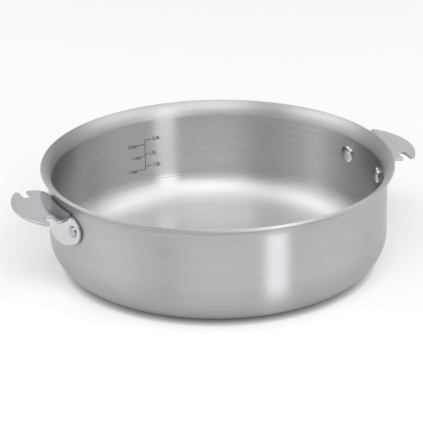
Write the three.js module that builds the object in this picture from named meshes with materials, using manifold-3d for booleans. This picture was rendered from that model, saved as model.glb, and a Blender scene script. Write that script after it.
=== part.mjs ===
// A two-ear saute pan in three-layer clad steel: a straight-sided body with a flared pouring lip and,
// riveted to opposite sides, two short flat ears that a clip-on handle hooks into.
// Millimetres, +Z up. The origin is the centre of the base and the ears lie along X.
import * as THREE from "three";
import { mergeVertices } from "three/addons/utils/BufferGeometryUtils.js";
import Module from "manifold-3d";

const wasm = await Module();
wasm.setup();

// Body
const WALL_RADIUS = 118.2; // outside of the straight wall
const LIP_RADIUS = 123.5; // outermost reach of the flared lip
const PAN_HEIGHT = 75; // from the base to the top of the lip
const CORNER_RADIUS = 25.3; // outside of the round between base and wall
const LIP_TURN = THREE.MathUtils.degToRad(65); // how far the lip turns out from upright
const OUTER_STEEL = 0.4;
const CORE_METAL = 1.5;
const INNER_STEEL = 0.4;
const BOND_GAP = 0.05; // left between bonded layers, so that they never share space

// Ear brackets
const SHEET = 2; // thickness of the stamped sheet
const EAR_DROP = 0.83; // from where the lip starts to flare down to the ear's upper face
const EAR_REACH = 31.6; // from the wall to the ear's outermost point
const EAR_ARC_RADIUS = 50; // of the ear's outer edge
const SLOT_REACH = 13; // from the wall to the near side of a slot
const SLOT_WIDTH = 5.3;
const WAIST_WIDTH = 37.6; // between the closed ends of the two slots
const FINGER_SPAN = 60.2; // across the ear on the wall side of the slots
const FINGER_RADIUS = 11.4; // of the ear's edge as it leaves the wall
const TIP_ROUND = 1; // on the corners of the ear's fingers
const SLOT_ROUND = 1; // in the closed corners of a slot
const LOBE_ROUND = 1.8; // on the corners outside a slot
const BEND_RADIUS = 1.2; // inside of the bend between ear and flange
const FLANGE_WIDTH = 62;
const FLANGE_END_RADIUS = 9.6; // of the flange's round ends
const FLANGE_TOP_DROP = 2.6; // from the ear's upper face to the top of the flange's ends
const FLANGE_DEPTH = 27.8; // from the ear's upper face down to the flange's lowest point
const FLANGE_GAP = 0.2; // between flange and wall

// Rivets
const RIVET_SPACING = 45.6; // between a bracket's two rivets
const RIVET_DROP = 12.5; // from the ear's upper face down to the rivets' middle
const SHANK_RADIUS = 2.5;
const SHANK_CLEARANCE = 0.25; // all round the shank
const SEAT_CLEARANCE = 0.08; // under each head
const INNER_HEAD_RADIUS = 6;
const INNER_HEAD_HEIGHT = 1.6;
const OUTER_HEAD_RADIUS = 4.2;
const OUTER_HEAD_HEIGHT = 1.6;
const HEAD_EDGE = 0.5; // upright rim of a head below its dome

// Facets
const SEGMENTS = 62; // round the pan: two over a multiple of four, for a corner on the Y axis
const CORNER_STEPS = 5;
const FLARE_STEPS = 4;
const STEEL_LIP_STEPS = 2; // across a steel layer's share of the lip's round edge
const CORE_LIP_STEPS = 4;
const BEND_STEPS = 3;
const RIVET_SEGMENTS = 16;
const DOME_STEPS = 3;
const ARC_STEP = THREE.MathUtils.degToRad(12); // along flat outlines
const MERGE_DISTANCE = 1e-4; // corners closer than this are one

// Sizes that follow from the ones above
const LAYERS = OUTER_STEEL + CORE_METAL + INNER_STEEL;
const HALF_TURN = Math.PI;
const QUARTER_TURN = Math.PI / 2;
const FACET_SHARE = Math.cos(Math.PI / SEGMENTS); // a facet's middle lies this share of its radius out
const FLARE_RADIUS = (LIP_RADIUS - WALL_RADIUS) / (1 - Math.cos(LIP_TURN)); // of the sheet's middle
const FLARE_START = PAN_HEIGHT - LAYERS / 2 - FLARE_RADIUS * Math.sin(LIP_TURN);
const EAR_TOP = FLARE_START - EAR_DROP;
const FLANGE_BOTTOM = EAR_TOP - FLANGE_DEPTH;
const FLANGE_INSIDE = WALL_RADIUS + FLANGE_GAP;
const FLANGE_OUTSIDE = FLANGE_INSIDE + SHEET;
const RIVET_HEIGHT = EAR_TOP - RIVET_DROP;
const RIVET_ANGLE = Math.asin(RIVET_SPACING / 2 / WALL_RADIUS);
const WELL_RADIUS = (WALL_RADIUS - LAYERS) * FACET_SHARE; // clear inside the straight wall
const INNER_SEAT = Math.sqrt(WELL_RADIUS ** 2 - INNER_HEAD_RADIUS ** 2) - SEAT_CLEARANCE;
const OUTER_SEAT = FLANGE_OUTSIDE + SEAT_CLEARANCE;
const DRILL_START = WALL_RADIUS / 2; // inside the pan, well clear of the wall
const DRILL_LENGTH = WALL_RADIUS;

const point = (x, y) => new THREE.Vector2(x, y);

// Points along an arc from one angle to another, both ends included.
function arc(x, y, radius, from, to, steps = Math.ceil(Math.abs(to - from) / ARC_STEP)) {
  const points = [];
  for (let i = 0; i <= steps; i += 1) {
    const angle = from + ((to - from) * i) / steps;
    points.push(point(x + radius * Math.cos(angle), y + radius * Math.sin(angle)));
  }
  return points;
}

// A closed geometry as a solid for booleans.
function solid(geometry) {
  const loose = geometry.index ? geometry.toNonIndexed() : geometry;
  const bare = new THREE.BufferGeometry();
  bare.setAttribute("position", loose.getAttribute("position"));
  const merged = mergeVertices(bare, MERGE_DISTANCE);
  const corners = merged.index.array;
  const kept = [];
  for (let i = 0; i < corners.length; i += 3) {
    const [a, b, c] = corners.subarray(i, i + 3);
    if (a !== b && b !== c && c !== a) kept.push(a, b, c);
  }
  const vertProperties = merged.getAttribute("position").array;
  const triVerts = new Uint32Array(kept);
  return new wasm.Manifold(new wasm.Mesh({ numProp: 3, vertProperties, triVerts }));
}

// A profile of (radius, height) points turned about Z, with the middle of a facet on the X axis.
function turned(profile) {
  return new THREE.LatheGeometry(profile, SEGMENTS).rotateX(QUARTER_TURN);
}

function named(name, made, material) {
  const raw = made.getMesh();
  const geometry = new THREE.BufferGeometry();
  geometry.setAttribute("position", new THREE.BufferAttribute(raw.vertProperties, 3));
  geometry.setIndex(new THREE.BufferAttribute(raw.triVerts, 1));
  geometry.computeVertexNormals();
  const mesh = new THREE.Mesh(geometry, material);
  mesh.name = name;
  return mesh;
}

// The body's section at one depth into the sheet, from the axis out to the lip.
function surface(depth) {
  const corner = CORNER_RADIUS - depth;
  const flare = FLARE_RADIUS - LAYERS / 2 + depth;
  const flareAxis = WALL_RADIUS - LAYERS / 2 + FLARE_RADIUS;
  return [
    point(0, depth),
    ...arc(WALL_RADIUS - CORNER_RADIUS, CORNER_RADIUS, corner, -QUARTER_TURN, 0, CORNER_STEPS),
    ...arc(flareAxis, FLARE_START, flare, HALF_TURN, HALF_TURN - LIP_TURN, FLARE_STEPS),
  ];
}

// A point of the lip's round edge, at one depth into the sheet.
function lipEdge(depth) {
  const fromMiddle = depth - LAYERS / 2;
  const past = Math.sqrt(Math.max(0, (LAYERS / 2) ** 2 - fromMiddle ** 2));
  const end = surface(depth).at(-1);
  return point(end.x + past * Math.sin(LIP_TURN), end.y + past * Math.cos(LIP_TURN));
}

// One layer of the clad sheet between two depths, drilled for the rivets.
function layer(from, to, lipSteps) {
  const edge = [];
  for (let i = 0; i <= lipSteps; i += 1) edge.push(lipEdge(from + ((to - from) * i) / lipSteps));
  let made = solid(turned([...surface(from), ...edge, ...surface(to).reverse()]));
  for (const side of SIDES) {
    for (const end of ENDS) made = made.subtract(drill(side.turn, end));
  }
  return made;
}

// Something made along +Y from the pan's axis, stood at one rivet's place.
function atRivet(geometry, turn, end) {
  geometry.rotateZ(-QUARTER_TURN + turn + end * RIVET_ANGLE);
  return solid(geometry.translate(0, 0, RIVET_HEIGHT));
}

function drill(turn, end) {
  const radius = SHANK_RADIUS + SHANK_CLEARANCE;
  const hole = new THREE.CylinderGeometry(radius, radius, DRILL_LENGTH, RIVET_SEGMENTS);
  return atRivet(hole.translate(0, DRILL_START + DRILL_LENGTH / 2, 0), turn, end);
}

// A low dome over a head's upright rim, from the rim to the crown; direction is 1 outwards, -1 inwards.
function head(radius, height, seat, direction) {
  const points = [point(radius, seat)];
  for (let i = 0; i < DOME_STEPS; i += 1) {
    const angle = (QUARTER_TURN * i) / DOME_STEPS;
    const rise = HEAD_EDGE + (height - HEAD_EDGE) * Math.sin(angle);
    points.push(point(radius * Math.cos(angle), seat + direction * rise));
  }
  return [...points, point(0, seat + direction * height)];
}

function rivet(turn, end) {
  const profile = [
    ...head(INNER_HEAD_RADIUS, INNER_HEAD_HEIGHT, INNER_SEAT, -1).reverse(),
    point(SHANK_RADIUS, INNER_SEAT),
    point(SHANK_RADIUS, OUTER_SEAT),
    ...head(OUTER_HEAD_RADIUS, OUTER_HEAD_HEIGHT, OUTER_SEAT, 1),
  ];
  return atRivet(new THREE.LatheGeometry(profile, RIVET_SEGMENTS), turn, end);
}

// Half of the ear's plan, from the wall to the middle of its outer edge, on the side where y is positive.
function earEdge() {
  const slotNear = WALL_RADIUS + SLOT_REACH;
  const slotFar = slotNear + SLOT_WIDTH;
  const slotEnd = WAIST_WIDTH / 2;
  const tip = FINGER_SPAN / 2;
  const arcCentre = WALL_RADIUS + EAR_REACH - EAR_ARC_RADIUS;
  const lobeX = slotFar + LOBE_ROUND;
  const lobeY = Math.sqrt((EAR_ARC_RADIUS - LOBE_ROUND) ** 2 - (lobeX - arcCentre) ** 2);
  const lobeAngle = Math.atan2(lobeY, lobeX - arcCentre);
  return [
    point(WALL_RADIUS - SHEET, tip - FINGER_RADIUS),
    ...arc(slotNear - TIP_ROUND, tip - FINGER_RADIUS, FINGER_RADIUS, HALF_TURN, QUARTER_TURN),
    ...arc(slotNear - TIP_ROUND, tip - TIP_ROUND, TIP_ROUND, QUARTER_TURN, 0, BEND_STEPS).slice(1),
    ...arc(slotNear + SLOT_ROUND, slotEnd + SLOT_ROUND, SLOT_ROUND, -HALF_TURN, -QUARTER_TURN, BEND_STEPS),
    ...arc(slotFar - SLOT_ROUND, slotEnd + SLOT_ROUND, SLOT_ROUND, -QUARTER_TURN, 0, BEND_STEPS),
    ...arc(lobeX, lobeY, LOBE_ROUND, HALF_TURN, lobeAngle, BEND_STEPS),
    ...arc(arcCentre, 0, EAR_ARC_RADIUS, lobeAngle, 0).slice(1),
  ];
}

// The ear's plan, slots and all, as a block from inside the flange to above the ear.
function earBlock() {
  const half = earEdge();
  const other = half.slice(0, -1).reverse().map((p) => point(p.x, -p.y));
  const bottom = EAR_TOP - FLANGE_TOP_DROP - FLANGE_END_RADIUS;
  const depth = EAR_TOP + SHEET - bottom;
  const plan = new THREE.Shape([...half, ...other]);
  const block = new THREE.ExtrudeGeometry(plan, { depth, bevelEnabled: false });
  return solid(block.translate(0, 0, bottom));
}

// The flange seen from the side: two round ends joined by a straight top and a curved bottom.
function flangeBlock() {
  const endY = FLANGE_WIDTH / 2 - FLANGE_END_RADIUS;
  const endZ = EAR_TOP - FLANGE_TOP_DROP - FLANGE_END_RADIUS;
  const rise = endZ - FLANGE_BOTTOM;
  const bottomRadius = (endY ** 2 + rise ** 2 - FLANGE_END_RADIUS ** 2) / (2 * (rise - FLANGE_END_RADIUS));
  const bottomZ = FLANGE_BOTTOM + bottomRadius;
  const meet = Math.atan2(endZ - bottomZ, endY);
  const outline = [
    ...arc(0, bottomZ, bottomRadius, -HALF_TURN - meet, meet),
    ...arc(endY, endZ, FLANGE_END_RADIUS, meet, QUARTER_TURN).slice(1),
    ...arc(-endY, endZ, FLANGE_END_RADIUS, QUARTER_TURN, HALF_TURN - meet).slice(0, -1),
  ];
  const depth = WALL_RADIUS;
  const block = new THREE.ExtrudeGeometry(new THREE.Shape(outline), { depth, bevelEnabled: false });
  return solid(block.rotateX(QUARTER_TURN).rotateZ(QUARTER_TURN).translate(depth / 2, 0, 0));
}

// The bracket's section all round the pan: upright against the wall, then bent out level.
function bentRing() {
  const bendX = FLANGE_OUTSIDE + BEND_RADIUS;
  const bendZ = EAR_TOP - SHEET - BEND_RADIUS;
  const reach = WALL_RADIUS + EAR_REACH + EAR_ARC_RADIUS;
  const profile = [
    point(FLANGE_INSIDE, FLANGE_BOTTOM),
    point(FLANGE_OUTSIDE, FLANGE_BOTTOM),
    ...arc(bendX, bendZ, BEND_RADIUS, HALF_TURN, QUARTER_TURN, BEND_STEPS),
    point(reach, EAR_TOP - SHEET),
    point(reach, EAR_TOP),
    ...arc(bendX, bendZ, BEND_RADIUS + SHEET, QUARTER_TURN, HALF_TURN, BEND_STEPS),
    point(FLANGE_INSIDE, FLANGE_BOTTOM),
  ];
  return solid(turned(profile));
}

function flangeRing() {
  const profile = [
    point(FLANGE_INSIDE, FLANGE_BOTTOM - SHEET),
    point(FLANGE_OUTSIDE, FLANGE_BOTTOM - SHEET),
    point(FLANGE_OUTSIDE, EAR_TOP),
    point(FLANGE_INSIDE, EAR_TOP),
    point(FLANGE_INSIDE, FLANGE_BOTTOM - SHEET),
  ];
  return solid(turned(profile));
}

// The bracket on +X: an upright flange and a slotted ear from one sheet.
function bracket() {
  const ear = bentRing().intersect(earBlock());
  const flange = flangeRing().intersect(flangeBlock());
  let made = flange.add(ear);
  for (const end of ENDS) made = made.subtract(drill(0, end));
  return made;
}

// Materials
const metal = (color, roughness) => new THREE.MeshStandardMaterial({ color, metalness: 1, roughness });
const satinSteel = () => metal(0xb9babd, 0.38);
const polishedSteel = () => metal(0xc8c9cc, 0.15);
const aluminium = () => metal(0xd2d3d4, 0.45);

// Where the repeated pieces go
const SIDES = [
  { name: "right", turn: 0 },
  { name: "left", turn: HALF_TURN },
];
const ENDS = [-1, 1]; // each way round the pan from an ear's middle

const group = new THREE.Group();
group.name = "saute_pan";

const coreStart = OUTER_STEEL + BOND_GAP / 2;
const coreEnd = OUTER_STEEL + CORE_METAL - BOND_GAP / 2;
group.add(named("outer_shell", layer(0, coreStart - BOND_GAP, STEEL_LIP_STEPS), satinSteel()));
group.add(named("aluminium_core", layer(coreStart, coreEnd, CORE_LIP_STEPS), aluminium()));
group.add(named("inner_liner", layer(coreEnd + BOND_GAP, LAYERS, STEEL_LIP_STEPS), satinSteel()));

for (const side of SIDES) {
  const turnDegrees = THREE.MathUtils.radToDeg(side.turn);
  group.add(named("ear_bracket_" + side.name, bracket().rotate([0, 0, turnDegrees]), polishedSteel()));
  for (const end of ENDS) {
    const place = Math.sin(side.turn + end * RIVET_ANGLE) < 0 ? "front" : "rear";
    group.add(named("rivet_" + side.name + "_" + place, rivet(side.turn, end), polishedSteel()));
  }
}

export default group;
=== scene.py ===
from math import acos, asin, atan2, cos, hypot, pi, radians, sin, sqrt

import bmesh
import bpy
from mathutils import Matrix, Vector


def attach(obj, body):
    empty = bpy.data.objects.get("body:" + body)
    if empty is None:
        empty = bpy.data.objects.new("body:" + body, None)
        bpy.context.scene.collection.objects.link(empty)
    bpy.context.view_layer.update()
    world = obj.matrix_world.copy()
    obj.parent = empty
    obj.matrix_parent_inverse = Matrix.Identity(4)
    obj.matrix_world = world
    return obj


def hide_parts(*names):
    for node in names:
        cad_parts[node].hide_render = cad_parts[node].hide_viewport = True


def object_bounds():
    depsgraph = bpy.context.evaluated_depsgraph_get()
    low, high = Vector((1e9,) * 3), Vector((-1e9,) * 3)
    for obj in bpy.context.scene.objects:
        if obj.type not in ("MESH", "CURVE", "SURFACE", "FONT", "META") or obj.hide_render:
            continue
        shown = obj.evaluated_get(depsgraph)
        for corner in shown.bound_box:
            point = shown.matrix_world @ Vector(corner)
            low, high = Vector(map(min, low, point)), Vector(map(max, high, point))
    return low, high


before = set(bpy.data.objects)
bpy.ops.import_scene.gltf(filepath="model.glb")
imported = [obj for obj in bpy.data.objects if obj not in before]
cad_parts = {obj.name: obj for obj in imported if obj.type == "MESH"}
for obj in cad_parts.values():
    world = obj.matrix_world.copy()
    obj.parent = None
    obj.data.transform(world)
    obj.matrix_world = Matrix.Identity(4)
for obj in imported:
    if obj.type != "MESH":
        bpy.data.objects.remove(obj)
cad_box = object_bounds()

# A clad-steel saute pan with two slotted ears, in metres. The origin is the centre of the base, +Z is up
# and the ears lie along X. The solids of the frame give the pan's reach, and these sizes its section.

# Body
WALL_RADIUS = 0.1182
LIP_RADIUS = cad_box[1].y
PAN_HEIGHT = cad_box[1].z
CORNER_RADIUS = 0.0253
LIP_TURN = radians(65)
OUTER_STEEL = 0.0004
CORE_METAL = 0.0015
INNER_STEEL = 0.0004
BOND_GAP = 0.00005
LAYERS = OUTER_STEEL + CORE_METAL + INNER_STEEL
FLARE_RADIUS = (LIP_RADIUS - WALL_RADIUS) / (1 - cos(LIP_TURN))
FLARE_START = PAN_HEIGHT - LAYERS / 2 - FLARE_RADIUS * sin(LIP_TURN)
INNER_RADIUS = WALL_RADIUS - LAYERS
LIP_FLAT = 0.00064
LIP_ROUND = 0.0005

# Ear brackets
SHEET = 0.002
EAR_BELOW_FLARE = 0.00083
EAR_TOP = FLARE_START - EAR_BELOW_FLARE
EAR_REACH = 0.0316
EAR_ARC_RADIUS = 0.050
SLOT_REACH = 0.0130
SLOT_WIDTH = 0.0053
WAIST_WIDTH = 0.0376
FINGER_SPAN = 0.0602
FINGER_RADIUS = 0.0114
TIP_ROUND = 0.001
SLOT_ROUND = 0.001
LOBE_ROUND = 0.0018
BEND_RADIUS = 0.0012
FLANGE_WIDTH = 0.062
FLANGE_END_RADIUS = 0.0096
FLANGE_TOP_DROP = 0.0026
FLANGE_BOTTOM_DROP = 0.0278
FLANGE_BOTTOM = EAR_TOP - FLANGE_BOTTOM_DROP
FLANGE_GAP = 0.0002
FLANGE_INSIDE = WALL_RADIUS + FLANGE_GAP
SHEET_EDGE_ROUND = 0.0004
BEND_MIDDLE = BEND_RADIUS + SHEET / 2
BEND_X = FLANGE_INSIDE + SHEET + BEND_RADIUS
BEND_Z = EAR_TOP - SHEET - BEND_RADIUS
BEND_END = BEND_Z + BEND_MIDDLE * pi / 2

# Rivets
RIVET_SPACING = 0.0456
RIVET_ANGLE = asin(RIVET_SPACING / 2 / WALL_RADIUS)
RIVET_DROP = 0.0125
RIVET_HEIGHT = EAR_TOP - RIVET_DROP
SHANK_RADIUS = 0.0025
INNER_HEAD_RADIUS = 0.006
OUTER_HEAD_RADIUS = 0.0042
HEAD_HEIGHT = 0.0016
HEAD_EDGE = 0.0005
HEAD_RING_DROP = 0.0003

# Capacity scale on the inner wall, as (label, height, tick length) to the right and left of its line
SCALE_AZIMUTH = radians(93.1)
LITRE_MARKS = (("2.0L", 0.0511, 0.0055), ("1.5L", 0.0398, 0.0024), ("1.0L", 0.0303, 0.0055))
QUART_MARKS = (("2.0qt", 0.0477, 0.0060), ("1.5qt", 0.0382, 0.0030), ("1.0qt", 0.0277, 0.0060))
MARK_LINE = 0.0005
MARK_LETTER = 0.0037
MARK_BOLDNESS = 0.00009
MARK_THICKNESS = 0.00004
LABEL_GAP = 0.0006

# Brushed finishes, as (darker colour, paler colour, roughness, anisotropy, share of the colour left at the
# foot if any, which is painted shade standing in for the dark floor the foot reflects)
OUTER_FINISH_AND_PAINTED_SHADE = ((0.483, 0.481, 0.5), (0.501, 0.499, 0.518), 0.32, 1.0, 0.68)
FLOOR_FINISH = ((0.61, 0.61, 0.612), (0.63, 0.63, 0.632), 0.51, 0.5)
WALL_FINISH = ((0.497, 0.494, 0.486), (0.517, 0.514, 0.505), 0.29, 1.0)
FLARE_FINISH = ((0.545, 0.545, 0.55), (0.565, 0.565, 0.57), 0.5, 0.85)
EDGE_FINISH = ((0.5, 0.5, 0.51), (0.53, 0.53, 0.54), 0.45, 0)

# Polished finishes, as (darker colour, paler colour, roughness)
BRIGHT_FINISH = ((0.6, 0.602, 0.635), (0.63, 0.632, 0.665), 0.13)
# Cut edges: darker than the faces, partly a duller sheared edge and partly painted shade of the crevice at
# the flange's edge.
CUT_AND_SHADE_FINISH = ((0.45, 0.45, 0.46), (0.55, 0.55, 0.56), 0.32)
RIVET_FINISH = ((0.67, 0.67, 0.68), (0.73, 0.73, 0.74), 0.1)
# Outer rivet heads: darker, partly a peened finish and partly painted shade of the dark ring round them.
PEENED_AND_SHADE_FINISH = ((0.4, 0.4, 0.405), (0.52, 0.52, 0.53), 0.18)

# Heights at which the finishes change: inside from floor to wall, and outside where the painted shade at
# the foot ends
FLOOR_FINISH_TOP = 0.0105
WALL_FINISH_START = 0.0238
PAINTED_SHADE_TOP = 0.032

# Texture of the finishes, as noise scales, lines to the metre, strengths and depths
NOISE_LOW = 0.3
NOISE_HIGH = 0.7
BRUSH_TURNS = 1.6
FINE_LINES = 2600
FINE_DETAIL = 3
BROAD_LINES = 420
BROAD_DETAIL = 2
BRUSHED_ROTATION = 0.25
BRUSHED_VARIATION = 0.02
BRUSHED_BUMP = 0.04
BRUSHED_DEPTH = 0.0001
CLOUD_SCALE = 160
CLOUD_DETAIL = 3
POLISH_SCALE = 2400
POLISH_DETAIL = 2
POLISHED_VARIATION = 0.03
POLISHED_BUMP = 0.03
POLISHED_DEPTH = 0.00005
INK_SCALE = 900
INK_DETAIL = 3
INK_DARK = (0.025, 0.025, 0.026)
INK_PALE = (0.06, 0.06, 0.062)
INK_SMOOTH = 0.45
INK_ROUGH = 0.6

# The picture's view
EAR_TURN = radians(24.2)
CAMERA_TILT = radians(22.83)
CAMERA_ROLL = 0.01281
CAMERA_DISTANCE = 1.6981
AIM_RIGHT = -0.0050
AIM_UP = 0.0336
SENSOR = 36.0
FOCAL_PIXELS = 2400
PICTURE_PIXELS = 423
LENS = SENSOR * FOCAL_PIXELS / PICTURE_PIXELS

# Floor and room. A glow is a brightness where white is 1, and a higher focus makes its spread narrower.
FLOOR_RADIUS = 8
FLOOR_DROP = 0.0002
FLOOR_COLOUR = 0.48
FLOOR_GLOW = 0.37
SHADOW_REACH = 0.006
SHADOW_DEPTH = 0.57
LEFT_GLOW = 1.3
RIGHT_GLOW = 1.1
FRONT_GLOW = 0.05
BACK_GLOW = 1.0
TOP_GLOW = 1.0
ROOM_FOCUS = 4
FILL_FOCUS = 2
FILL_GLOW = 0.2
FRONT_FILL = 3

# Lamps, as (name, place, point shone at, width, height, glow), with places as the picture sees them
BOX_HEIGHT = 1.5
STRIP_HEIGHT = 1.87
LAMPS = (
    ("front_box", (0, -1.1, BOX_HEIGHT), (0, -1.1, 0), 1.3, 1.0, 4.2),
    ("left_box", (-1.25, 0.3, BOX_HEIGHT), (-1.25, 0.3, 0), 0.9, 1.8, 3.1),
    ("right_box", (1.25, 0.1, BOX_HEIGHT), (1.25, 0.1, 0), 0.9, 1.6, 2.8),
    ("strip", (2.45, -3.16, STRIP_HEIGHT), (0, 0, STRIP_HEIGHT), 1.02, 3.7, 4.45),
)

# Fineness of the meshes
SHARP_ANGLE = radians(40)
SEGMENTS = 192
CORNER_STEPS = 16
WALL_STEPS = 8
FLARE_STEPS = 12
LIP_STEPS = 8
EDGE_STEPS = 4
FLANGE_STEPS = 12
FLANGE_END_STEPS = 18
FINGER_STEPS = 14
EAR_ARC_STEPS = 30
OUTLINE_STEP = 0.0012
BEND_STEPS = 8
SHEET_CUTS = 20
RIVET_SEGMENTS = 48
DOME_STEPS = 12
FLOOR_SEGMENTS = 96


def arc(x, y, radius, start, end, steps):
    """Points along an arc, both ends included."""
    angles = [start + (end - start) * i / steps for i in range(steps + 1)]
    return [(x + radius * cos(a), y + radius * sin(a)) for a in angles]


def mesh_from(made, name):
    """A mesh of the faces made so far, which are then let go."""
    mesh = bpy.data.meshes.new(name)
    made.to_mesh(mesh)
    made.free()
    return mesh


def add_object(name, data):
    """A new object in the scene."""
    added = bpy.data.objects.new(name, data)
    bpy.context.scene.collection.objects.link(added)
    return added


def piece_from(name, mesh, material, nodes=()):
    """A new piece of the pan, shaded smooth, that stands for CAD nodes."""
    mesh.shade_smooth()
    mesh.set_sharp_from_angle(angle=SHARP_ANGLE)
    piece = add_object(name, mesh)
    piece.data.materials.append(material)
    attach(piece, "root")
    if nodes:
        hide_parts(*nodes)
    return piece


def lathe(name, profile, segments):
    """A mesh turned about Z from (radius, height) points that start and end on the axis."""
    made = bmesh.new()
    rings = []
    for radius, height in profile[1:-1]:
        turns = [2 * pi * i / segments for i in range(segments)]
        rings.append([made.verts.new((radius * cos(t), radius * sin(t), height)) for t in turns])
    first = made.verts.new((0, 0, profile[0][1]))
    last = made.verts.new((0, 0, profile[-1][1]))
    for i in range(segments):
        j = (i + 1) % segments
        made.faces.new((first, rings[0][j], rings[0][i]))
        made.faces.new((last, rings[-1][i], rings[-1][j]))
        for low, high in zip(rings, rings[1:]):
            made.faces.new((low[i], low[j], high[j], high[i]))
    bmesh.ops.recalc_face_normals(made, faces=made.faces)
    return mesh_from(made, name)


def surface(depth):
    """The body's section at one depth into the sheet, from the axis out to the lip."""
    corner_x = WALL_RADIUS - CORNER_RADIUS
    flare_x = WALL_RADIUS - LAYERS / 2 + FLARE_RADIUS
    flare = FLARE_RADIUS - LAYERS / 2 + depth
    wall = WALL_RADIUS - depth
    rise = (FLARE_START - CORNER_RADIUS) / WALL_STEPS
    return [
        (0, depth),
        *[(corner_x * i / CORNER_STEPS, depth) for i in range(1, CORNER_STEPS)],
        *arc(corner_x, CORNER_RADIUS, CORNER_RADIUS - depth, -pi / 2, 0, CORNER_STEPS),
        *[(wall, CORNER_RADIUS + rise * i) for i in range(1, WALL_STEPS)],
        *arc(flare_x, FLARE_START, flare, pi, pi - LIP_TURN, FLARE_STEPS),
    ]


def lip_edge(depth):
    """A point of the lip's flat edge, with rounded corners, at one depth into the sheet."""
    from_face = min(depth, LAYERS - depth, LIP_ROUND)
    past = LIP_FLAT - LIP_ROUND + sqrt(LIP_ROUND**2 - (LIP_ROUND - from_face) ** 2)
    x, z = surface(depth)[-1]
    return x + past * sin(LIP_TURN), z + past * cos(LIP_TURN)


def refinish(piece, material, chosen):
    """Another finish for the faces whose distance from the axis and height are chosen."""
    piece.data.materials.append(material)
    for face in piece.data.polygons:
        if chosen(face.center.to_2d().length, face.center.z):
            face.material_index = len(piece.data.materials) - 1


def layer(name, start, end, material, edge_material):
    """One layer of the clad sheet between two depths, with its own finish on the lip's edge."""
    edge = [lip_edge(start + (end - start) * i / LIP_STEPS) for i in range(LIP_STEPS + 1)]
    profile = surface(start)[:-1] + edge + surface(end)[-2::-1]
    piece = piece_from(name, lathe(name, profile, SEGMENTS), material, [name])
    lip_start = surface(end)[-1][0]
    refinish(piece, edge_material, lambda reach, height: reach > lip_start)
    return piece


def develop_plan(x, y):
    """A point of the ear's plan as (angle round the pan, length along the bent sheet)."""
    reach = hypot(x, y)
    if reach >= BEND_X:
        return atan2(y, x), BEND_END + reach - BEND_X
    return atan2(y, x), BEND_Z + BEND_MIDDLE * acos(min(1, (BEND_X - reach) / BEND_MIDDLE))


def develop_side(y, z):
    """A point of the flange's side view in the same terms."""
    length = z if z < BEND_Z else BEND_Z + BEND_MIDDLE * asin((z - BEND_Z) / BEND_MIDDLE)
    return asin(y / (FLANGE_INSIDE + SHEET / 2)), length


def bend(angle, length, depth):
    """The place of a point of the flat sheet, depth metres out from its middle, once it is bent."""
    turn = min(max((length - BEND_Z) / BEND_MIDDLE, 0), pi / 2)
    past = max(length - BEND_END, 0)
    radius = BEND_X - (BEND_MIDDLE - depth) * cos(turn) + past
    height = min(length, BEND_Z) + (BEND_MIDDLE - depth) * sin(turn)
    return radius * cos(angle), radius * sin(angle), height


def spaced(points):
    """The same line with more points on its long straight stretches."""
    full = [points[0]]
    for start, end in zip(points, points[1:]):
        parts = max(1, round(hypot(end[0] - start[0], end[1] - start[1]) / OUTLINE_STEP))
        for i in range(1, parts + 1):
            full.append(tuple(a + (b - a) * i / parts for a, b in zip(start, end)))
    return full


def half_outline():
    """Half of the flat bracket's edge, from the flange's lowest point to the ear's outermost one."""
    end_y = FLANGE_WIDTH / 2 - FLANGE_END_RADIUS
    end_z = EAR_TOP - FLANGE_TOP_DROP - FLANGE_END_RADIUS
    rise = end_z - FLANGE_BOTTOM
    bottom = (end_y**2 + rise**2 - FLANGE_END_RADIUS**2) / (2 * (rise - FLANGE_END_RADIUS))
    bottom_z = FLANGE_BOTTOM + bottom
    meet = atan2(end_z - bottom_z, end_y)
    flange = arc(0, bottom_z, bottom, -pi / 2, meet, FLANGE_STEPS)
    flange += arc(end_y, end_z, FLANGE_END_RADIUS, meet, pi / 2, FLANGE_END_STEPS)[1:]
    near = WALL_RADIUS + SLOT_REACH
    far = near + SLOT_WIDTH
    waist = WAIST_WIDTH / 2
    tip = FINGER_SPAN / 2
    centre = WALL_RADIUS + EAR_REACH - EAR_ARC_RADIUS
    lobe_x = far + LOBE_ROUND
    lobe_y = sqrt((EAR_ARC_RADIUS - LOBE_ROUND) ** 2 - (lobe_x - centre) ** 2)
    lobe = atan2(lobe_y, lobe_x - centre)
    neck_y = tip - FINGER_RADIUS
    neck_turn = asin((EAR_TOP - FLANGE_TOP_DROP - BEND_Z) / BEND_MIDDLE)
    neck_reach = BEND_X - BEND_MIDDLE * cos(neck_turn)
    ear = [(sqrt(neck_reach**2 - neck_y**2), neck_y)]
    ear += arc(near - TIP_ROUND, neck_y, FINGER_RADIUS, pi, pi / 2, FINGER_STEPS)
    ear += arc(near - TIP_ROUND, tip - TIP_ROUND, TIP_ROUND, pi / 2, 0, EDGE_STEPS)[1:]
    ear += arc(near + SLOT_ROUND, waist + SLOT_ROUND, SLOT_ROUND, -pi, -pi / 2, EDGE_STEPS)
    ear += arc(far - SLOT_ROUND, waist + SLOT_ROUND, SLOT_ROUND, -pi / 2, 0, EDGE_STEPS)
    ear += arc(lobe_x, lobe_y, LOBE_ROUND, pi, lobe, EDGE_STEPS)
    ear += arc(centre, 0, EAR_ARC_RADIUS, lobe, 0, EAR_ARC_STEPS)[1:]
    return [develop_side(*p) for p in flange] + [develop_plan(*p) for p in spaced(ear)]


def inset(outline, distance):
    """A closed outline moved inwards; the outline runs counter-clockwise."""
    moved = []
    for i, (x, y) in enumerate(outline):
        before = Vector(outline[i - 1])
        after = Vector(outline[(i + 1) % len(outline)])
        along = (Vector((x, y)) - before).normalized() + (after - Vector((x, y))).normalized()
        inward = Vector((-along.y, along.x)).normalized()
        moved.append((x + inward.x * distance, y + inward.y * distance))
    return moved


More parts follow.
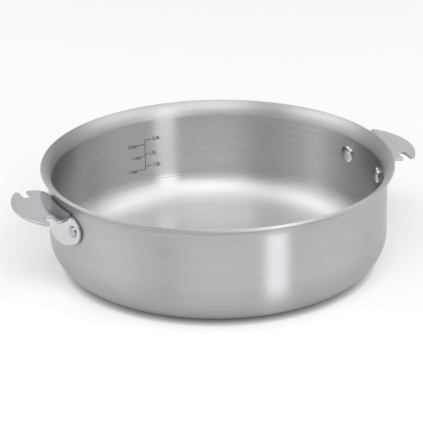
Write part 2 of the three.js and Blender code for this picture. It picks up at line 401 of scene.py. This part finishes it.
def bracket(side, turn, material, cut_and_shade_material):
    """One stamped bracket: a flat sheet with rounded cut edges, cut fine and bent round the wall."""
    flat_radius = FLANGE_INSIDE + SHEET / 2
    half = [(angle * flat_radius, length) for angle, length in half_outline()]
    outline = half + [(-x, y) for x, y in half[-2:0:-1]]
    rim = [(2 * SHEET_EDGE_ROUND, -SHEET / 2)]
    for angle in [pi / 2 * i / EDGE_STEPS for i in range(EDGE_STEPS + 1)]:
        distance = SHEET_EDGE_ROUND * (1 - sin(angle))
        rim.append((distance, -SHEET / 2 + SHEET_EDGE_ROUND * (1 - cos(angle))))
    rim += [(distance, -depth) for distance, depth in rim[::-1]]
    made = bmesh.new()
    loops = []
    for distance, depth in rim:
        loops.append([made.verts.new((x, y, depth)) for x, y in inset(outline, distance)])
    count = len(outline)
    for step, (low, high) in enumerate(zip(loops, loops[1:])):
        for i in range(count):
            j = (i + 1) % count
            face = made.faces.new((low[i], low[j], high[j], high[i]))
            # The cut edge takes the darker finish, which is partly painted shade.
            face.material_index = int(0 < step < len(rim) - 2)
    made.faces.new(loops[0][::-1])
    made.faces.new(loops[-1])
    made.normal_update()
    width = max(x for x, _ in outline)
    cuts = [((0, BEND_Z + BEND_MIDDLE * pi / 2 * i / BEND_STEPS), (0, 1)) for i in range(BEND_STEPS + 1)]
    cuts += [((width * i / SHEET_CUTS, 0), (1, 0)) for i in range(1 - SHEET_CUTS, SHEET_CUTS)]
    for (x, y), (nx, ny) in cuts:
        parts = made.verts[:] + made.edges[:] + made.faces[:]
        bmesh.ops.bisect_plane(made, geom=parts, plane_co=(x, y, 0), plane_no=(nx, ny, 0))
    for vert in made.verts:
        vert.co = bend(vert.co.x / flat_radius, vert.co.y, vert.co.z)
    bmesh.ops.rotate(made, verts=made.verts, matrix=Matrix.Rotation(turn, 3, "Z"))
    bmesh.ops.recalc_face_normals(made, faces=made.faces)
    name = "ear_bracket_" + side
    piece = piece_from(name, mesh_from(made, name), material, [name])
    piece.data.materials.append(cut_and_shade_material)


def head(radius, seat, way):
    """A low dome on a short straight rim, from the seat out to the crown, as (radius, place) points."""
    points = [(radius, seat), (radius, seat + way * (HEAD_EDGE - HEAD_RING_DROP))]
    dome = HEAD_HEIGHT - HEAD_EDGE
    for i in range(DOME_STEPS):
        angle = pi / 2 * i / DOME_STEPS
        points.append((radius * cos(angle), seat + way * (HEAD_EDGE + dome * sin(angle))))
    return points + [(0, seat + way * HEAD_HEIGHT)]


def rivet(side, turn, end, material, outer_and_shade_material):
    """A rivet through flange and wall, with a wide head inside and a small one outside."""
    inner_seat = sqrt(INNER_RADIUS**2 - INNER_HEAD_RADIUS**2)
    outer_seat = FLANGE_INSIDE + SHEET
    profile = head(INNER_HEAD_RADIUS, inner_seat, -1)[::-1]
    profile += [(SHANK_RADIUS, inner_seat), (SHANK_RADIUS, outer_seat)]
    profile += head(OUTER_HEAD_RADIUS, outer_seat, 1)
    azimuth = turn + end * RIVET_ANGLE
    name = "rivet_" + side + ("_front" if sin(azimuth) < 0 else "_rear")
    mesh = lathe(name, profile, RIVET_SEGMENTS)
    lie_down = Matrix.Rotation(azimuth, 4, "Z") @ Matrix.Rotation(pi / 2, 4, "Y")
    mesh.transform(Matrix.Translation((0, 0, RIVET_HEIGHT)) @ lie_down)
    piece = piece_from(name, mesh, material, [name])
    # The outer head takes the darker finish, which is partly painted shade.
    refinish(piece, outer_and_shade_material, lambda reach, height: reach > outer_seat)


def flat_bar(made, x0, x1, y0, y1):
    """A bar of the scale, in the flat, with its back on the wall."""
    box = bmesh.ops.create_cube(made, size=1)["verts"]
    middle = Vector(((x0 + x1) / 2, (y0 + y1) / 2, MARK_THICKNESS / 2))
    size = Vector((abs(x1 - x0), abs(y1 - y0), MARK_THICKNESS))
    for vert in box:
        vert.co = middle + Vector(a * b for a, b in zip(vert.co, size))


def flat_words(made, words, x, y, align):
    """A label of the scale, in the flat, beside a tick."""
    curve = bpy.data.curves.new("label", "FONT")
    curve.body = words
    curve.size = MARK_LETTER
    curve.offset = MARK_BOLDNESS
    curve.align_x = align
    curve.align_y = "CENTER"
    curve.extrude = MARK_THICKNESS / 2
    label = add_object("label", curve)
    bpy.context.view_layer.update()
    mesh = bpy.data.meshes.new_from_object(label.evaluated_get(bpy.context.evaluated_depsgraph_get()))
    mesh.transform(Matrix.Translation((x, y, MARK_THICKNESS / 2)))
    made.from_mesh(mesh)
    bpy.data.objects.remove(label)
    bpy.data.meshes.remove(mesh)
    bpy.data.curves.remove(curve)


def capacity_scale(material):
    """Lines and plain numbers marked on the inner wall."""
    made = bmesh.new()
    heights = [mark[1] for mark in LITRE_MARKS + QUART_MARKS]
    half = MARK_LINE / 2
    flat_bar(made, -half, half, min(heights) - half, max(heights) + half)
    for marks, way, align in ((LITRE_MARKS, 1, "LEFT"), (QUART_MARKS, -1, "RIGHT")):
        for words, height, tick in marks:
            flat_bar(made, way * half, way * tick, height - half, height + half)
            flat_words(made, words, way * (tick + LABEL_GAP), height, align)
    for vert in made.verts:
        azimuth = SCALE_AZIMUTH - vert.co.x / INNER_RADIUS
        radius = INNER_RADIUS - vert.co.z
        vert.co = radius * cos(azimuth), radius * sin(azimuth), vert.co.y
    bmesh.ops.recalc_face_normals(made, faces=made.faces)
    piece_from("capacity_scale", mesh_from(made, "capacity_scale"), material)


class Nodes:
    """The node tree of a material or a world, with short ways to add and join nodes."""

    # The Mix node's sockets for colours
    MIX_LOW = 6
    MIX_HIGH = 7
    MIX_RESULT = 2

    def __init__(self, owner):
        self.owner = owner
        owner.use_nodes = True
        self.tree = owner.node_tree
        self.tree.nodes.clear()

    def add(self, kind, **settings):
        node = self.tree.nodes.new("ShaderNode" + kind)
        for key, value in settings.items():
            setattr(node, key, value)
        return node

    def join(self, source, node, socket):
        self.tree.links.new(source, node.inputs[socket])

    def math(self, operation, a, b):
        node = self.add("Math", operation=operation)
        for socket, value in enumerate((a, b)):
            if isinstance(value, (int, float)):
                node.inputs[socket].default_value = value
            else:
                self.join(value, node, socket)
        return node.outputs[0]

    def spread(self, value, low, high):
        node = self.add("MapRange")
        self.join(value, node, "Value")
        node.inputs["From Min"].default_value = NOISE_LOW
        node.inputs["From Max"].default_value = NOISE_HIGH
        node.inputs["To Min"].default_value = low
        node.inputs["To Max"].default_value = high
        return node.outputs[0]

    def shade(self, value, low, high):
        node = self.add("Mix", data_type="RGBA")
        self.join(value, node, "Factor")
        node.inputs[self.MIX_LOW].default_value = (*low, 1)
        node.inputs[self.MIX_HIGH].default_value = (*high, 1)
        return node.outputs[self.MIX_RESULT]

    def noise(self, vector, scale, detail):
        node = self.add("TexNoise")
        self.join(vector, node, "Vector")
        node.inputs["Scale"].default_value = scale
        node.inputs["Detail"].default_value = detail
        return node.outputs[0]

    def bump(self, height, strength, distance):
        node = self.add("Bump")
        node.inputs["Strength"].default_value = strength
        node.inputs["Distance"].default_value = distance
        self.join(height, node, "Height")
        return node.outputs[0]

    def finish(self, shader, output="OutputMaterial"):
        self.join(shader, self.add(output), "Surface")
        return self.owner


def material_nodes(name):
    return Nodes(bpy.data.materials.new(name))


def brushed_surface(nodes, low, high, roughness, anisotropy, painted_foot_shade=1.0):
    """Steel with fine lines round the pan, on floor and wall alike, with painted shade darkening it
    towards the foot.
    """
    place = nodes.add("TexCoord").outputs["Object"]
    parts = nodes.add("SeparateXYZ")
    nodes.join(place, parts, 0)
    level = nodes.add("CombineXYZ")
    nodes.join(parts.outputs["X"], level, "X")
    nodes.join(parts.outputs["Y"], level, "Y")
    reach = nodes.add("VectorMath", operation="LENGTH")
    nodes.join(level.outputs[0], reach, 0)
    direction = nodes.add("VectorMath", operation="NORMALIZE")
    nodes.join(level.outputs[0], direction, 0)
    around = nodes.add("VectorMath", operation="SCALE")
    nodes.join(direction.outputs[0], around, 0)
    around.inputs["Scale"].default_value = BRUSH_TURNS
    across = nodes.math("ADD", reach.outputs["Value"], parts.outputs["Z"])

    def grain(lines_per_metre, detail):
        lines = nodes.add("CombineXYZ")
        nodes.join(nodes.math("MULTIPLY", across, lines_per_metre), lines, "Z")
        vector = nodes.add("VectorMath", operation="ADD")
        nodes.join(around.outputs[0], vector, 0)
        nodes.join(lines.outputs[0], vector, 1)
        return nodes.noise(vector.outputs[0], 1, detail)

    fine = grain(FINE_LINES, FINE_DETAIL)
    broad = grain(BROAD_LINES, BROAD_DETAIL)
    shader = nodes.add("BsdfPrincipled")
    shader.inputs["Metallic"].default_value = 1
    shader.inputs["Anisotropic"].default_value = anisotropy
    shader.inputs["Anisotropic Rotation"].default_value = BRUSHED_ROTATION
    tangent = nodes.add("Tangent", direction_type="RADIAL", axis="Z")
    nodes.join(tangent.outputs[0], shader, "Tangent")
    # Painted shade: the colour darkens towards the foot, in place of the dark floor that the foot
    # reflects.
    painted_shade_ramp = nodes.add("MapRange")
    nodes.join(parts.outputs["Z"], painted_shade_ramp, "Value")
    painted_shade_ramp.inputs["From Max"].default_value = PAINTED_SHADE_TOP
    painted_shade_ramp.inputs["To Min"].default_value = painted_foot_shade
    colour = nodes.add("VectorMath", operation="SCALE")
    nodes.join(nodes.shade(nodes.spread(broad, 0, 1), low, high), colour, 0)
    nodes.join(painted_shade_ramp.outputs[0], colour, "Scale")
    nodes.join(colour.outputs[0], shader, "Base Color")
    rough = nodes.spread(fine, roughness - BRUSHED_VARIATION, roughness + BRUSHED_VARIATION)
    nodes.join(rough, shader, "Roughness")
    nodes.join(nodes.bump(fine, BRUSHED_BUMP, BRUSHED_DEPTH), shader, "Normal")
    return shader.outputs[0]


def brushed(name, finish):
    """A material of one brushed finish."""
    nodes = material_nodes(name)
    return nodes.finish(brushed_surface(nodes, *finish))


def brushed_blend(name, lower, upper, start, end):
    """A material whose brushing changes softly from one finish to another between two heights."""
    nodes = material_nodes(name)
    parts = nodes.add("SeparateXYZ")
    nodes.join(nodes.add("TexCoord").outputs["Object"], parts, 0)
    rise = nodes.add("MapRange", interpolation_type="SMOOTHSTEP")
    nodes.join(parts.outputs["Z"], rise, "Value")
    rise.inputs["From Min"].default_value = start
    rise.inputs["From Max"].default_value = end
    blend = nodes.add("MixShader")
    nodes.join(rise.outputs[0], blend, 0)
    nodes.join(brushed_surface(nodes, *lower), blend, 1)
    nodes.join(brushed_surface(nodes, *upper), blend, 2)
    return nodes.finish(blend.outputs[0])


def polished(name, finish):
    """Smooth bright steel with faint cloudy polishing marks."""
    low, high, roughness = finish
    nodes = material_nodes(name)
    place = nodes.add("TexCoord").outputs["Object"]
    cloud = nodes.noise(place, CLOUD_SCALE, CLOUD_DETAIL)
    fine = nodes.noise(place, POLISH_SCALE, POLISH_DETAIL)
    shader = nodes.add("BsdfPrincipled")
    shader.inputs["Metallic"].default_value = 1
    nodes.join(nodes.shade(nodes.spread(cloud, 0, 1), low, high), shader, "Base Color")
    rough = nodes.spread(cloud, roughness - POLISHED_VARIATION, roughness + POLISHED_VARIATION)
    nodes.join(rough, shader, "Roughness")
    nodes.join(nodes.bump(fine, POLISHED_BUMP, POLISHED_DEPTH), shader, "Normal")
    return nodes.finish(shader.outputs[0])


def mark_ink():
    """Dark grey marks with slight wear."""
    nodes = material_nodes("scale_mark")
    place = nodes.add("TexCoord").outputs["Object"]
    wear = nodes.noise(place, INK_SCALE, INK_DETAIL)
    shader = nodes.add("BsdfPrincipled")
    nodes.join(nodes.shade(nodes.spread(wear, 0, 1), INK_DARK, INK_PALE), shader, "Base Color")
    nodes.join(nodes.spread(wear, INK_SMOOTH, INK_ROUGH), shader, "Roughness")
    return nodes.finish(shader.outputs[0])


def kinds_of_ray(nodes):
    """One for a ray from the camera, and one for a ray from a shiny or clear surface, else nought."""
    path = nodes.add("LightPath")
    shiny = nodes.math("MAXIMUM", path.outputs["Is Glossy Ray"], path.outputs["Is Transmission Ray"])
    return path.outputs["Is Camera Ray"], shiny


def from_view(right, away, up):
    """A place given as the picture sees it, in the pan's own frame."""
    x = right * cos(EAR_TURN) + away * sin(EAR_TURN)
    y = -right * sin(EAR_TURN) + away * cos(EAR_TURN)
    return Vector((x, y, up))


def add_floor():
    """A pale floor with a glow that only the camera and shiny surfaces see, darker close to the pan."""
    nodes = material_nodes("studio_floor")
    open_sky = nodes.add("AmbientOcclusion")
    open_sky.inputs["Distance"].default_value = SHADOW_REACH
    shade = nodes.math("POWER", open_sky.outputs["AO"], SHADOW_DEPTH)
    diffuse = nodes.add("BsdfDiffuse")
    nodes.join(nodes.math("MULTIPLY", shade, FLOOR_COLOUR), diffuse, "Color")
    glow = nodes.add("Emission")
    lift = nodes.math("MULTIPLY", shade, FLOOR_GLOW)
    seen = nodes.math("MAXIMUM", *kinds_of_ray(nodes))
    nodes.join(nodes.math("MULTIPLY", lift, seen), glow, "Strength")
    both = nodes.add("AddShader")
    nodes.join(diffuse.outputs[0], both, 0)
    nodes.join(glow.outputs[0], both, 1)
    made = bmesh.new()
    bmesh.ops.create_circle(made, cap_ends=True, segments=FLOOR_SEGMENTS, radius=FLOOR_RADIUS)
    bmesh.ops.translate(made, verts=made.verts, vec=(0, 0, -FLOOR_DROP))
    floor = add_object("floor", mesh_from(made, "floor"))
    floor.data.materials.append(nodes.finish(both.outputs[0]))


def add_world():
    """White to the camera, a soft room to shiny surfaces, and light mostly from the front to dull ones."""
    world = bpy.data.worlds.new("studio")
    bpy.context.scene.world = world
    nodes = Nodes(world)
    direction = nodes.add("TexCoord").outputs["Generated"]

    def towards(right, away, up, focus):
        along = nodes.add("VectorMath", operation="DOT_PRODUCT")
        nodes.join(direction, along, 0)
        along.inputs[1].default_value = from_view(right, away, up)
        return nodes.math("POWER", nodes.math("MAXIMUM", along.outputs["Value"], 0), focus)

    room = 0
    for side, glow in (
        ((-1, 0, 0), LEFT_GLOW),
        ((1, 0, 0), RIGHT_GLOW),
        ((0, -1, 0), FRONT_GLOW),
        ((0, 1, 0), BACK_GLOW),
        ((0, 0, 1), TOP_GLOW),
    ):
        room = nodes.math("ADD", room, nodes.math("MULTIPLY", towards(*side, ROOM_FOCUS), glow))
    camera, shiny = kinds_of_ray(nodes)
    dull = nodes.math("SUBTRACT", 1, nodes.math("MAXIMUM", shiny, camera))
    strength = nodes.math("ADD", camera, nodes.math("MULTIPLY", shiny, room))
    front = towards(0, -1, 0, FILL_FOCUS)
    fill = nodes.math("ADD", nodes.math("MULTIPLY", front, FRONT_FILL), FILL_GLOW)
    strength = nodes.math("ADD", strength, nodes.math("MULTIPLY", dull, fill))
    background = nodes.add("Background")
    background.inputs["Color"].default_value = (1, 1, 1, 1)
    nodes.join(strength, background, "Strength")
    nodes.finish(background.outputs[0], "OutputWorld")


def add_lamp(name, place, target, width, height, radiance):
    """A soft rectangular lamp that shines towards a point, both given as the picture sees them."""
    lamp = bpy.data.lights.new(name, "AREA")
    lamp.shape = "RECTANGLE"
    lamp.size = width
    lamp.size_y = height
    lamp.energy = radiance * pi * width * height
    away = from_view(*target) - from_view(*place)
    if away.to_2d().length:
        turn = away.to_track_quat("-Z", "Y").to_matrix()
    else:
        turn = Matrix.Rotation(-EAR_TURN, 3, "Z")
    lamp_object = add_object(name, lamp)
    lamp_object.matrix_world = Matrix.Translation(from_view(*place)) @ turn.to_4x4()
    lamp_object.visible_camera = False


def add_camera():
    """A long lens at the picture's view."""
    away = from_view(0, cos(CAMERA_TILT), -sin(CAMERA_TILT))
    right = from_view(1, 0, 0)
    up = from_view(0, sin(CAMERA_TILT), cos(CAMERA_TILT))
    rolled_right = right * cos(CAMERA_ROLL) - up * sin(CAMERA_ROLL)
    rolled_up = right * sin(CAMERA_ROLL) + up * cos(CAMERA_ROLL)
    place = rolled_right * AIM_RIGHT + rolled_up * AIM_UP - away * CAMERA_DISTANCE
    camera = bpy.data.cameras.new("camera")
    camera.sensor_width = SENSOR
    camera.lens = LENS
    camera_object = add_object("camera", camera)
    turn = Matrix((rolled_right, rolled_up, -away)).transposed().to_4x4()
    camera_object.matrix_world = Matrix.Translation(place) @ turn
    bpy.context.scene.camera = camera_object


def add_studio():
    """Floor, world, three soft boxes above the pan and a tall strip beside the camera."""
    add_floor()
    add_world()
    for lamp in LAMPS:
        add_lamp(*lamp)


outer_steel_and_painted_shade = brushed("satin_steel_outside_painted_shade", OUTER_FINISH_AND_PAINTED_SHADE)
inner_heights = (FLOOR_FINISH_TOP, WALL_FINISH_START)
inner_steel = brushed_blend("satin_steel_inside", FLOOR_FINISH, WALL_FINISH, *inner_heights)
flare_steel = brushed("satin_steel_flare", FLARE_FINISH)
edge_steel = brushed("satin_steel_edge", EDGE_FINISH)
core_metal = brushed("core_aluminium", EDGE_FINISH)
bright_steel = polished("polished_steel", BRIGHT_FINISH)
cut_steel_and_shade = polished("polished_steel_cut_and_shade", CUT_AND_SHADE_FINISH)
rivet_steel = polished("polished_steel_rivets", RIVET_FINISH)
peened_steel_and_shade = polished("polished_steel_peened_and_shade", PEENED_AND_SHADE_FINISH)

core_start = OUTER_STEEL + BOND_GAP / 2
core_end = OUTER_STEEL + CORE_METAL - BOND_GAP / 2
flare_end = surface(LAYERS)[-1][0]
layer("outer_shell", 0, core_start - BOND_GAP, outer_steel_and_painted_shade, edge_steel)
layer("aluminium_core", core_start, core_end, core_metal, core_metal)
liner = layer("inner_liner", core_end + BOND_GAP, LAYERS, inner_steel, edge_steel)
refinish(liner, flare_steel, lambda reach, height: height > FLARE_START and reach < flare_end)
for side, turn in (("right", 0), ("left", pi)):
    bracket(side, turn, bright_steel, cut_steel_and_shade)
    for end in (-1, 1):
        rivet(side, turn, end, rivet_steel, peened_steel_and_shade)
capacity_scale(mark_ink())

add_studio()
add_camera()
bpy.context.scene.view_settings.view_transform = "Standard"
